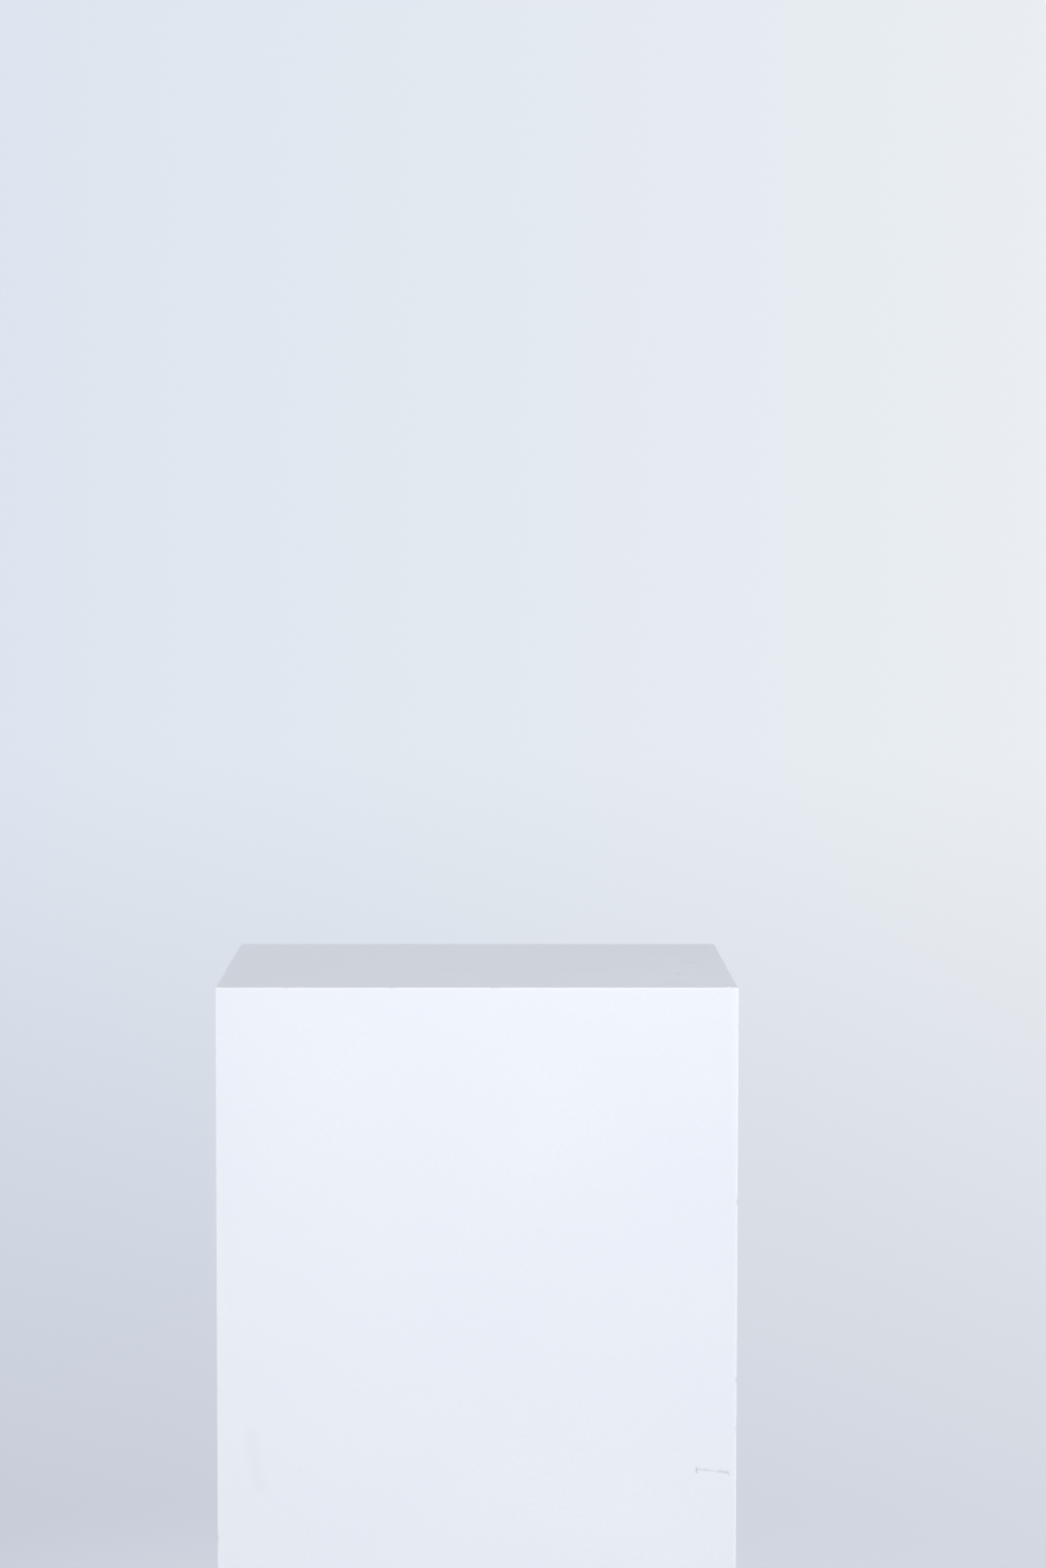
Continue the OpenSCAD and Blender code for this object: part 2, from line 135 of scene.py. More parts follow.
def make_lacquer():
    """Satin water-based lacquer, rolled on over primer: a cool white that is faintly cloudy, with
    the fine stipple of a short-pile roller, polished along the arrises with a painted highlight there, and
    scuffed by use."""
    material, tree, place = new_material("satin_white_lacquer")
    middle = add(tree, "VectorMath", [place, box_mid], operation="SUBTRACT")
    spread = add(tree, "VectorMath", [middle], operation="ABSOLUTE")
    inset = add(tree, "VectorMath", [box_half, spread], operation="SUBTRACT")
    from_side, from_front, from_end = add(tree, "SeparateXYZ", [inset]).outputs
    height = add(tree, "SeparateXYZ", [place]).outputs["Z"]

    # A point's second smallest inset is how far it lies from the nearest arris
    pairs = [(from_side, from_front), (from_front, from_end), (from_side, from_end)]
    larger = [add(tree, "Math", pair, operation="MAXIMUM") for pair in pairs]
    nearer = add(tree, "Math", larger[:2], operation="MINIMUM")
    arris_gap = add(tree, "Math", [nearer, larger[2]], operation="MINIMUM")
    # Along the arrises the lacquer is glossier, and it is also painted lighter: a painted highlight of the
    # light that an arris catches
    polish_and_highlight = add(tree, "MapRange", [arris_gap, polish_and_highlight_outer, polish_and_highlight_inner, 0, 1],
                 interpolation_type="SMOOTHSTEP")
    patches = add(tree, "TexNoise", {"Vector": place, "Scale": 1 / (16 * mm), "Detail": 6,
                                     "Roughness": 0.6})
    knocks = add(tree, "MapRange", [patches, 0.6, 0.68, 0, 1])
    nicked = add(tree, "Math", [polish_and_highlight, knocks], operation="MULTIPLY")

    # Shoes and mops leave a greyer band above the floor, in smears about 170 mm long and 17 mm high
    band = add(tree, "MapRange", [height, lower_edge + soiled_h, lower_edge, 0, 1])
    wipes = add(tree, "Mapping", {"Vector": place, "Scale": (6, 6, 60)})
    smears = add(tree, "TexNoise", {"Vector": wipes, "Scale": 1, "Detail": 6, "Roughness": 0.65})
    smeared = add(tree, "MapRange", [smears, 0.42, 0.75, 0, 0.55])
    soiled = add(tree, "Math", [band, smeared], operation="MULTIPLY")

    # Marks that handling has left: a scuff on the front's right, a faint patch on its left, and a
    # streak and a speck on the top. Each has its start, its end, its half width and its depth.
    right, front, top = cad_high.x, cad_low.y, cad_high.z
    knock = Vector((right - 30.7 * mm, front, top - 373.8 * mm))
    graze_end = Vector((right - 6.6 * mm, front, top - 376.4 * mm))
    hook_end = Vector((right - 5.4 * mm, front, top - 378.3 * mm))
    marks = [
        (knock - Vector((0, 0, 2.8 * mm)), knock + Vector((0, 0, 1.4 * mm)), 1 * mm, 1),
        (knock, knock.lerp(graze_end, 0.35), 1.7 * mm, 0.5),
        (knock.lerp(graze_end, 0.35), graze_end, 1.5 * mm, 0.3),
        (knock.lerp(graze_end, 0.72), graze_end, 1.9 * mm, 0.7),
        (graze_end, hook_end, 0.9 * mm, 0.8),
        (
            Vector((-right + 26 * mm, front, top - 348 * mm)),
            Vector((-right + 32 * mm, front, top - 388 * mm)),
            9 * mm,
            0.1,
        ),
        (
            Vector((right - 34 * mm, 30 * mm, top)),
            Vector((right - 22 * mm, 8 * mm, top)),
            2.6 * mm,
            0.4,
        ),
        (
            Vector((right - 42 * mm, -68 * mm, top)),
            Vector((right - 41 * mm, -60 * mm, top)),
            2.2 * mm,
            0.5,
        ),
    ]
    marked = 0
    for start, end, half_width, depth in marks:
        mark = stroke(tree, place, start, end, half_width)
        mark = add(tree, "Math", [mark, depth], operation="MULTIPLY")
        marked = add(tree, "Math", [marked, mark], operation="MAXIMUM")
    broken = add(tree, "TexNoise", {"Vector": place, "Scale": 1 / (3 * mm), "Detail": 3})
    breaks = add(tree, "MapRange", [broken, 0.3, 0.6, 0.45, 1])
    scuffed = add(tree, "Math", [marked, breaks], operation="MULTIPLY")

    # A short-pile roller's stipple is about 1 mm across, and is drawn at 3 mm so that it shows
    stipple = add(tree, "TexNoise", {"Vector": place, "Scale": 1 / (3 * mm), "Detail": 3,
                                     "Roughness": 0.6})
    clouds = add(tree, "TexNoise", {"Vector": place, "Scale": 1 / (180 * mm), "Detail": 3})
    tone = add(tree, "Mix", {"Factor": 0.5, "A": stipple, "B": clouds})
    cloudy = add(tree, "MapRange", [tone, 0.36, 0.64, 0, 1])
    colour = add(tree, "Mix", {"Factor": cloudy, "A": linear("#e9eef8"), "B": linear("#eef2fa")},
                 data_type="RGBA")
    # Of these tints, the pale one along the arrises is a painted highlight; the others are wear and dirt on
    # the lacquer
    films = [
        (polish_and_highlight, "#fbfcff", 0.7),
        (nicked, "#b9bdc6", 0.5),
        (soiled, "#b9b6b0", 0.6),
        (scuffed, "#9296a2", 0.55),
    ]
    for share, tint, strength in films:
        amount = add(tree, "Math", [share, strength], operation="MULTIPLY")
        colour = add(tree, "Mix", {"Factor": amount, "A": colour, "B": linear(tint)}, data_type="RGBA")

    satin = add(tree, "MapRange", [stipple, 0.3, 0.7, 0.34, 0.42])
    dulled = add(tree, "Math", [scuffed, soiled], operation="MAXIMUM")
    gloss = add(tree, "Mix", {"Factor": polish_and_highlight, "A": satin, "B": 0.27})
    gloss = add(tree, "Mix", {"Factor": dulled, "A": gloss, "B": 0.6})
    waves = add(tree, "TexNoise", {"Vector": place, "Scale": 1 / (35 * mm), "Detail": 1})
    rolled = add(tree, "Bump", {"Height": stipple, "Distance": 0.05 * mm, "Strength": 0.6})
    flatness = add(tree, "Bump", {"Height": waves, "Distance": 0.15 * mm, "Strength": 0.5, "Normal": rolled})
    shader = add(tree, "BsdfPrincipled", {"Base Color": colour, "Roughness": gloss, "Normal": flatness})
    add(tree, "OutputMaterial", {"Surface": shader})
    return material


def make_raw_board():
    """Sawn and sanded MDF: matt brown felted fibre, flecked, and furry where a cut shows its core."""
    material, tree, place = new_material("raw_mdf")
    fibres = add(tree, "TexNoise", {"Vector": place, "Scale": 1 / (1.2 * mm), "Detail": 6, "Roughness": 0.7})
    flecks = add(tree, "TexVoronoi", {"Vector": place, "Scale": 1 / (2.2 * mm)})
    bark = add(tree, "MapRange", [flecks.outputs["Distance"], 0.16, 0.05, 0, 0.5])
    felt = add(tree, "Mix", {"Factor": fibres, "A": linear("#a48863"), "B": linear("#cbb08a")},
               data_type="RGBA")
    colour = add(tree, "Mix", {"Factor": bark, "A": felt, "B": linear("#6e563b")}, data_type="RGBA")
    dust = add(tree, "MapRange", [fibres, 0.3, 0.7, 0.8, 0.95])
    nap = add(tree, "Bump", {"Height": fibres, "Distance": 0.15 * mm, "Strength": 0.7})
    shader = add(tree, "BsdfPrincipled", {"Base Color": colour, "Roughness": dust, "Normal": nap})
    add(tree, "OutputMaterial", {"Surface": shader})
    return material


def piece_of(bm, name, body, slot, stands_for, *materials):
    """Turns a bmesh into a piece that rides on a body and is shown in place of CAD nodes."""
    mesh = bpy.data.meshes.new(name)
    bm.to_mesh(mesh)
    bm.free()
    mesh.shade_smooth()
    mesh.set_sharp_from_angle(angle=sharp_angle)
    piece = bpy.data.objects.new(name, mesh)
    bpy.context.scene.collection.objects.link(piece)
    for material in materials:
        mesh.materials.append(material)
    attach(piece, body)
    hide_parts(stands_for)
    return piece


def cut(piece, tool, operation="DIFFERENCE"):
    """Cuts a bmesh out of a piece, or joins it on, for good."""
    mesh = bpy.data.meshes.new("tool")
    tool.to_mesh(mesh)
    tool.free()
    for material in piece.data.materials:
        mesh.materials.append(material)
    cutter = bpy.data.objects.new("tool", mesh)
    bpy.context.scene.collection.objects.link(cutter)
    boolean = piece.modifiers.new("cut", "BOOLEAN")
    boolean.operation = operation
    boolean.solver = "EXACT"
    boolean.object = cutter
    bpy.context.view_layer.update()
    result = bpy.data.meshes.new_from_object(piece.evaluated_get(bpy.context.evaluated_depsgraph_get()))
    bm = bmesh.new()
    bm.from_mesh(result)
    bmesh.ops.dissolve_degenerate(bm, dist=sliver, edges=bm.edges)
    bm.to_mesh(result)
    bm.free()
    piece.modifiers.clear()
    piece.data = result
    bpy.data.objects.remove(cutter)
    result.shade_smooth()
    result.set_sharp_from_angle(angle=sharp_angle)


def outer_face(side):
    """The middle of one side of the box."""
    return box_mid + Vector(n * h for n, h in zip(side, box_half))


def saw(bm, point, normal):
    """Saws a block along a plane, keeps what lies behind it and leaves the cut raw."""
    everything = [*bm.verts, *bm.edges, *bm.faces]
    bmesh.ops.bisect_plane(bm, geom=everything, dist=merge_cut, plane_co=point, plane_no=normal,
                           clear_outer=True)
    rim = [edge for edge in bm.edges if edge.is_boundary]
    for face in bmesh.ops.holes_fill(bm, edges=rim, sides=0)["faces"]:
        face.material_index = raw


block = bmesh.new()
bmesh.ops.create_cube(block, size=2, matrix=Matrix.Translation(box_mid) @ Matrix.Diagonal(box_half).to_4x4())
bmesh.ops.bevel(block, geom=block.edges[:], offset=arris_r, offset_type="OFFSET", segments=arris_steps,
                profile=0.5, affect="EDGES", material=-1)

lacquer = make_lacquer()
raw_mdf = make_raw_board()
boards = {}
for node, side in outward.items():
    board = block.copy()
    for other in outward.values():
        if other.dot(side) == 0:
            saw(board, outer_face(side) + outer_face(other) - box_mid, other - side)
    saw(board, outer_face(side) - side * board_t, -side)
    boards[node] = piece_of(board, node + "_board", "carcass", "painted_board", node, lacquer, raw_mdf)
block.free()

# A knock has dented the top arris near its right end. The dent is part of a ball's shape.
dent_r = 3 * mm
dent_h = 0.7 * mm
dent_from = Vector((0, -0.85, 0.53))
arris_line = Vector((cad_high.x - 6.5 * mm, cad_low.y + arris_r, cad_high.z - arris_r))
dent_at = Matrix.Translation(arris_line + dent_from * (arris_r + dent_r - dent_h))
for node in ("front_wall", "display_top"):
    dent = bmesh.new()
    bmesh.ops.create_uvsphere(dent, u_segments=32, v_segments=16, radius=dent_r, matrix=dent_at)
    cut(boards[node], dent)

# ---- Biscuits ----
# Five lens-shaped wafers of pressed beech across each upright mitre. The glue swells them tight
# in slots that a biscuit jointer saws a little longer than they are.
biscuit_w = 23 * mm
biscuit_tip_w = 3.4 * mm
biscuit_steps = 24
slot_slack = 1.5 * mm    # spare length at each end of a slot
slot_fit = 0.1 * mm      # between a biscuit and its slot, each side
biscuit_ease = 0.35 * mm
corners = {"front_left": (-1, -1), "front_right": (1, -1), "back_right": (1, 1), "back_left": (-1, 1)}


def solids(node):
    """The lowest and highest corners of each separate solid of a CAD node."""
    bm = bmesh.new()
    bm.from_mesh(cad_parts[node].data)
    bmesh.ops.remove_doubles(bm, verts=bm.verts, dist=weld)
    found = []
    unseen = set(bm.verts)
    while unseen:
        reached = [unseen.pop()]
        for vert in reached:     # the list grows until the whole solid is in it
            linked = [edge.other_vert(vert) for edge in vert.link_edges]
            fresh = [other for other in linked if other in unseen]
            unseen.difference_update(fresh)
            reached.extend(fresh)
        axes = list(zip(*(vert.co for vert in reached)))
        found.append((Vector(map(min, axes)), Vector(map(max, axes))))
    bm.free()
    return sorted(found, key=lambda box: tuple(round(x, 5) for x in box[0]))


def round_edges(bm, radius, steps=3):
    """Rounds every edge that is sharp to the hand."""
    sharp = [e for e in bm.edges if len(e.link_faces) == 2 and e.calc_face_angle() > sharp_angle]
    bmesh.ops.bevel(bm, geom=sharp, offset=radius, offset_type="OFFSET", segments=steps,
                    profile=0.5, affect="EDGES", material=-1, clamp_overlap=True)


def stamped(template, places):
    """Copies of one shape at several places, in one bmesh."""
    bm = bmesh.new()
    for place in places:
        mesh = bpy.data.meshes.new("copy")
        template.to_mesh(mesh)
        mesh.transform(place)
        bm.from_mesh(mesh)
        bpy.data.meshes.remove(mesh)
    return bm


def biscuit(length, width, thickness):
    """A flat lens with blunt tips, its length along Z, its width along X, standing on its middle."""
    sag = (width - biscuit_tip_w) / 2
    bend_r = ((length / 2) ** 2 + sag ** 2) / (2 * sag)
    bend_at = Vector((width / 2 - bend_r, -thickness / 2, 0))
    half_turn = math.asin(length / 2 / bend_r)
    bm = bmesh.new()
    tip = bm.verts.new(bend_at + bend_r * Vector((math.cos(half_turn), 0, -math.sin(half_turn))))
    bmesh.ops.spin(bm, geom=[tip], cent=bend_at, axis=(0, -1, 0), angle=2 * half_turn, steps=biscuit_steps)
    far_side = bmesh.ops.duplicate(bm, geom=[*bm.verts, *bm.edges])["geom"]
    bmesh.ops.scale(bm, vec=(-1, 1, 1), verts=[v for v in far_side if isinstance(v, bmesh.types.BMVert)])
    bmesh.ops.bridge_loops(bm, edges=bm.edges)
    raised = bmesh.ops.extrude_face_region(bm, geom=bm.faces)["geom"]
    raised_verts = [v for v in raised if isinstance(v, bmesh.types.BMVert)]
    bmesh.ops.translate(bm, vec=(0, thickness, 0), verts=raised_verts)
    bmesh.ops.recalc_face_normals(bm, faces=bm.faces)
    return bm


def make_beech():
    """Compressed beech: pinkish brown, with short dark rays slanting across the wafer and the grid
    of dimples that the press leaves to hold glue."""
    material, tree, place = new_material("pressed_beech")
    slant = add(tree, "Mapping", {"Vector": place, "Rotation": (0.6, 0.6, 0)})
    drawn = add(tree, "Mapping", {"Vector": slant, "Scale": (1, 1, 0.12)})
    rays = add(tree, "TexNoise", {"Vector": drawn, "Scale": 1 / (0.9 * mm), "Detail": 4})
    flecked = add(tree, "MapRange", [rays, 0.42, 0.62, 0, 1])
    colour = add(tree, "Mix", {"Factor": flecked, "A": linear("#d4a678"), "B": linear("#b07d50")},
                 data_type="RGBA")
    grid = add(tree, "TexVoronoi", {"Vector": place, "Scale": 1 / (2 * mm), "Randomness": 0})
    matt = add(tree, "MapRange", [rays, 0, 1, 0.55, 0.75])
    dimples = add(tree, "Bump", {"Height": grid.outputs["Distance"], "Distance": 0.15 * mm, "Strength": 0.8})
    shader = add(tree, "BsdfPrincipled", {"Base Color": colour, "Roughness": matt, "Normal": dimples})
    add(tree, "OutputMaterial", {"Surface": shader})
    return material


beech = make_beech()
slots = {node: [] for node in outward}
for corner, (x_side, y_side) in corners.items():
    across = math.atan2(-y_side, x_side)
    wafers = solids(corner + "_biscuits")
    size = wafers[0][1] - wafers[0][0]
    thickness = size.x * math.sqrt(2) - biscuit_w
    places = [Matrix.Translation((low + high) / 2) @ Matrix.Rotation(across, 4, "Z") for low, high in wafers]
    wafer = biscuit(size.z, biscuit_w, thickness)
    round_edges(wafer, biscuit_ease, 2)
    piece_of(stamped(wafer, places), corner + "_beech_biscuits", "carcass", "beech",
             corner + "_biscuits", beech)
    wafer.free()
    for node, side in outward.items():
        if side.x == x_side or side.y == y_side:
            slots[node].extend(places)

slot = biscuit(size.z + 2 * slot_slack, biscuit_w + 2 * slot_fit, thickness + 2 * slot_fit)
for face in slot.faces:
    face.material_index = raw
for node, places in slots.items():
    if places:
        cut(boards[node], stamped(slot, places))
slot.free()

# ---- Battens and cleats ----
# Planed square pine. The battens stand in the corners and hold the walls square, and the cleats
# carry the top, the diaphragm and the base board. All are screwed to the boards and glued.
ring_w = 3.2 * mm        # one year's growth


def make_pine(name, turn):
    """Planed pine, never finished: honey-coloured early wood that deepens to a thin brown line of
    late wood each year, with fine fibre along the grain. The turn lays the grain along the stick."""
    material, tree, place = new_material(name)
    stick = add(tree, "Mapping", {"Vector": place, "Rotation": turn, "Location": (0.031, 0.017, 0)})
    drift = add(tree, "Mapping", {"Vector": stick, "Scale": (1, 1, 0.06)})
    wander = add(tree, "TexNoise", {"Vector": drift, "Scale": 1 / (40 * mm), "Detail": 3}).outputs["Color"]
    shift = add(tree, "VectorMath", {"Vector": wander, "Scale": 9 * mm}, operation="SCALE")
    bent = add(tree, "VectorMath", [stick, shift], operation="ADD")
    flat = add(tree, "VectorMath", [bent, (1, 1, 0)], operation="MULTIPLY")
    from_pith = add(tree, "VectorMath", [flat], operation="LENGTH").outputs["Value"]
    evenly = add(tree, "Math", [from_pith, ring_w], operation="DIVIDE")
    weather = add(tree, "TexNoise", {"W": evenly, "Scale": 0.45, "Detail": 2}, noise_dimensions="1D")
    good_years = add(tree, "Math", [weather, 3], operation="MULTIPLY")
    years = add(tree, "Math", [evenly, good_years], operation="ADD")
    season = add(tree, "Math", [years], operation="FRACT")
    late = add(tree, "MapRange", [season, 0.45, 0.93, 0, 1], interpolation_type="SMOOTHSTEP")
    thin = add(tree, "Mapping", {"Vector": stick, "Scale": (1, 1, 0.02)})
    fibre = add(tree, "TexNoise", {"Vector": thin, "Scale": 1 / (0.8 * mm), "Detail": 4})
    wood = add(tree, "Mix", {"Factor": late, "A": linear("#e6cc9a"), "B": linear("#c39456")},
               data_type="RGBA")
    streaks = add(tree, "MapRange", [fibre, 0.35, 0.7, 0, 0.35])
    colour = add(tree, "Mix", {"Factor": streaks, "A": wood, "B": linear("#b5874c")}, data_type="RGBA")
    matt = add(tree, "MapRange", [late, 0, 1, 0.68, 0.5])
    raised = add(tree, "Math", [fibre, late], operation="ADD")
    planed = add(tree, "Bump", {"Height": raised, "Distance": 0.06 * mm, "Strength": 0.5})
    shader = add(tree, "BsdfPrincipled", {"Base Color": colour, "Roughness": matt, "Normal": planed})
    add(tree, "OutputMaterial", {"Surface": shader})
    return material


quarter = math.pi / 2
pine_for = {
    "_batten": make_pine("planed_pine_upright", (0, 0, 0)),
    "front": make_pine("planed_pine_across", (0, quarter, 0)),
    "side": make_pine("planed_pine_front_to_back", (quarter, 0, 0)),
}
for node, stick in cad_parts.items():
    if node.endswith("_batten"):
        stick.material_slots[0].material = pine_for["_batten"]
    elif node.endswith("_cleat"):
        facing = "front" if node.startswith(("front", "back")) else "side"
        stick.material_slots[0].material = pine_for[facing]

# ---- Screws ----
# Zinc-plated countersunk wood screws with a cross recess, 4 mm across the thread. They are driven
# from inside the box, so that no head or plug shows on the lacquer.
screw_d = 4 * mm
root_d = 2.8 * mm
head_d = 8 * mm
head_h = (head_d - screw_d) / 2
screw_pitch = 1.8 * mm
screw_steps = 16
plain_share = 0.4        # part of the length that has no thread
recess_w = 1.1 * mm
recess_l = 4.4 * mm
recess_h = 1.8 * mm
pilot_fit = 0.1 * mm     # between a screw's root and its hole, on radius
tip_share = 0.06         # how much of its width the thread keeps at the point
head_rim = 0.25 * mm     # the straight rim of the head
runout = 0.6 * mm        # where the shank narrows to the thread's root
turn_seed = 5
up = Vector((0, 0, 1))


def turned(outline, steps, ring=False):
    """An outline of radii and heights turned about Z into a closed solid, or into a ring."""
    bm = bmesh.new()
    points = [bm.verts.new((radius, 0, height)) for radius, height in outline]
    ends = points[1:] + points[:1] if ring else points[1:]
    edges = [bm.edges.new(pair) for pair in zip(points, ends)]
    bmesh.ops.spin(bm, geom=[*points, *edges], cent=(0, 0, 0), axis=up, angle=2 * math.pi, steps=steps,
                   use_merge=True)
    bmesh.ops.remove_doubles(bm, verts=bm.verts, dist=weld)
    bmesh.ops.recalc_face_normals(bm, faces=bm.faces)
    return bm


def thread(section, pitch, low, high, steps):
    """A section of radii and rises, drawn over one pitch, wound into a thread and sawn off level."""
    bm = bmesh.new()
    turns = math.ceil((high - low) / pitch) + 2
    points = [bm.verts.new((radius, 0, low - pitch + rise)) for radius, rise in section]
    edges = [bm.edges.new(pair) for pair in zip(points, points[1:])]
    bmesh.ops.spin(bm, geom=[*points, *edges], cent=(0, 0, 0), axis=up, dvec=up * pitch / steps,
                   angle=2 * math.pi * turns, steps=steps * turns)
    bmesh.ops.remove_doubles(bm, verts=bm.verts, dist=weld)
    saw(bm, up * low, -up)
    saw(bm, up * high, up)
    for face in bm.faces:
        face.material_index = 0
    bmesh.ops.recalc_face_normals(bm, faces=bm.faces)
    return bm


def joined(name, parts):
    """Several closed shapes that overlap, made into one solid."""
    mesh = bpy.data.meshes.new(name)
    parts[0].to_mesh(mesh)
    parts[0].free()
    whole = bpy.data.objects.new(name, mesh)
    bpy.context.scene.collection.objects.link(whole)
    for part in parts[1:]:
        cut(whole, part, "UNION")
    return whole


def taken(piece):
    """The shape of a finished template as a bmesh. The template is removed."""
    bm = bmesh.new()
    bm.from_mesh(piece.data)
    bpy.data.objects.remove(piece)
    return bm


def make_screw(length):
    """A screw with its head's face at the origin and its point up."""
    plain = plain_share * length
    point_h = 2 * root_d
    section = [(root_d / 2, 0), (root_d / 2, 0.55 * screw_pitch), (screw_d / 2, 0.78 * screw_pitch),
               (root_d / 2, screw_pitch)]
    wound = thread(section, screw_pitch, plain - mm, length, screw_steps)
    for vert in wound.verts:
        taper = max(tip_share, min(1, (length - vert.co.z) / point_h))
        vert.co.x *= taper
        vert.co.y *= taper
    shank = turned([(0, 0), (head_d / 2, 0), (head_d / 2, head_rim), (screw_d / 2, head_h),
                    (screw_d / 2, plain - runout), (root_d / 2, plain), (0, plain)], 2 * screw_steps)
    screw = joined("screw", [shank, wound])
    for turn in (0, quarter):
        slot = bmesh.new()
        bmesh.ops.create_cube(slot, size=2, matrix=Matrix.Diagonal((recess_l / 2, recess_w / 2, recess_h, 1)))
        deep = [vert for vert in slot.verts if vert.co.z > 0]
        bmesh.ops.scale(slot, vec=(0.35, 0.8, 1), verts=deep)
        bmesh.ops.rotate(slot, cent=(0, 0, 0), matrix=Matrix.Rotation(turn, 3, "Z"), verts=slot.verts)
        cut(screw, slot)
    return taken(screw)


def make_zinc(name, film):
    """Bright zinc plate with a clear passivate: a soft bluish metal, faintly yellow in places, with
    dull spots of white rust and fine scratches along the turned steel."""
    material, tree, place = new_material(name)
    bloom = add(tree, "TexNoise", {"Vector": place, "Scale": 1 / (9 * mm), "Detail": 4})
    tinted = add(tree, "MapRange", [bloom, 0.4, 0.7, 0, film])
    plate = add(tree, "Mix", {"Factor": tinted, "A": linear("#c5cad1"), "B": linear("#cfc7a6")},
                data_type="RGBA")
    spots = add(tree, "TexNoise", {"Vector": place, "Scale": 1 / (1.6 * mm), "Detail": 5, "Roughness": 0.7})
    rusted = add(tree, "MapRange", [spots, 0.6, 0.74, 0, 0.5])
    colour = add(tree, "Mix", {"Factor": rusted, "A": plate, "B": linear("#a7a9a8")}, data_type="RGBA")
    turned_marks = add(tree, "Mapping", {"Vector": place, "Scale": (1, 1, 14)})
    scratches = add(tree, "TexNoise", {"Vector": turned_marks, "Scale": 1 / (2.5 * mm), "Detail": 3})
    brushed = add(tree, "MapRange", [scratches, 0.3, 0.7, 0.24, 0.42])
    gloss = add(tree, "Mix", {"Factor": rusted, "A": brushed, "B": 0.75})
    grooves = add(tree, "Bump", {"Height": scratches, "Distance": 0.01 * mm, "Strength": 0.5})
    shader = add(tree, "BsdfPrincipled", {"Base Color": colour, "Metallic": 1, "Roughness": gloss,
                                          "Normal": grooves})
    add(tree, "OutputMaterial", {"Surface": shader})
    return material


def driven(low, high):
    """Which way a screw points. Those in the walls point away from the middle of the box."""
    axis = max(range(3), key=lambda i: (high - low)[i])
    way = Vector((0, 0, 0))
    way[axis] = math.copysign(1, low[axis] + high[axis])
    return way


zinc_screws = make_zinc("zinc_plated_screw_steel", 0.7)
screw_shapes = {}
pilots = {node: [] for node in outward}
turn_of = random.Random(turn_seed)
for node in sorted(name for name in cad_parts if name.endswith("_screws")):
    places = []
    for low, high in solids(node):
        way = driven(low, high)
        length = (high - low).dot(way) if way.z else abs((high - low).dot(way))
        point = (low + high + way * length) / 2
        facing = up.rotation_difference(way).to_matrix().to_4x4()
        at_head = Matrix.Translation(point - way * length) @ facing
        places.append(at_head @ Matrix.Rotation(turn_of.uniform(0, math.pi), 4, "Z"))
        for board_node, side in outward.items():
            bite = (point - outer_face(side)).dot(side) + board_t
            if side.dot(way) > 0 and bite > 0:
                pilots[board_node].append((point, facing, bite))
    if round(length, 4) not in screw_shapes:
        screw_shapes[round(length, 4)] = make_screw(length)
    group = stamped(screw_shapes[round(length, 4)], places)
    piece_of(group, node.replace("_screws", "_zinc_screws"), "carcass", "zinc_screws", node, zinc_screws)
for shape in screw_shapes.values():
    shape.free()

# Pilot holes in the backs of the boards, drilled to just past the screws' points
for node, holes in pilots.items():
    drills = bmesh.new()
    for point, facing, bite in holes:
        deep = bite + pilot_fit + mm
        middle = Matrix.Translation((0, 0, pilot_fit - deep / 2))
        bmesh.ops.create_cone(drills, cap_ends=True, segments=screw_steps, radius1=root_d / 2 + pilot_fit,
                              radius2=root_d / 2 + pilot_fit, depth=deep,
                              matrix=Matrix.Translation(point) @ facing @ middle)
    for face in drills.faces:
        face.material_index = raw
    cut(boards[node], drills)

# ---- Diaphragm and base board ----
# Birch plywood. The diaphragm keeps the tall walls from bowing, and the base board, drilled for
# the tee nuts, closes the box a little above its lower edge. Both are screwed up from below.
ply_t = 1.4 * mm         # about one veneer; the count is rounded to an odd number


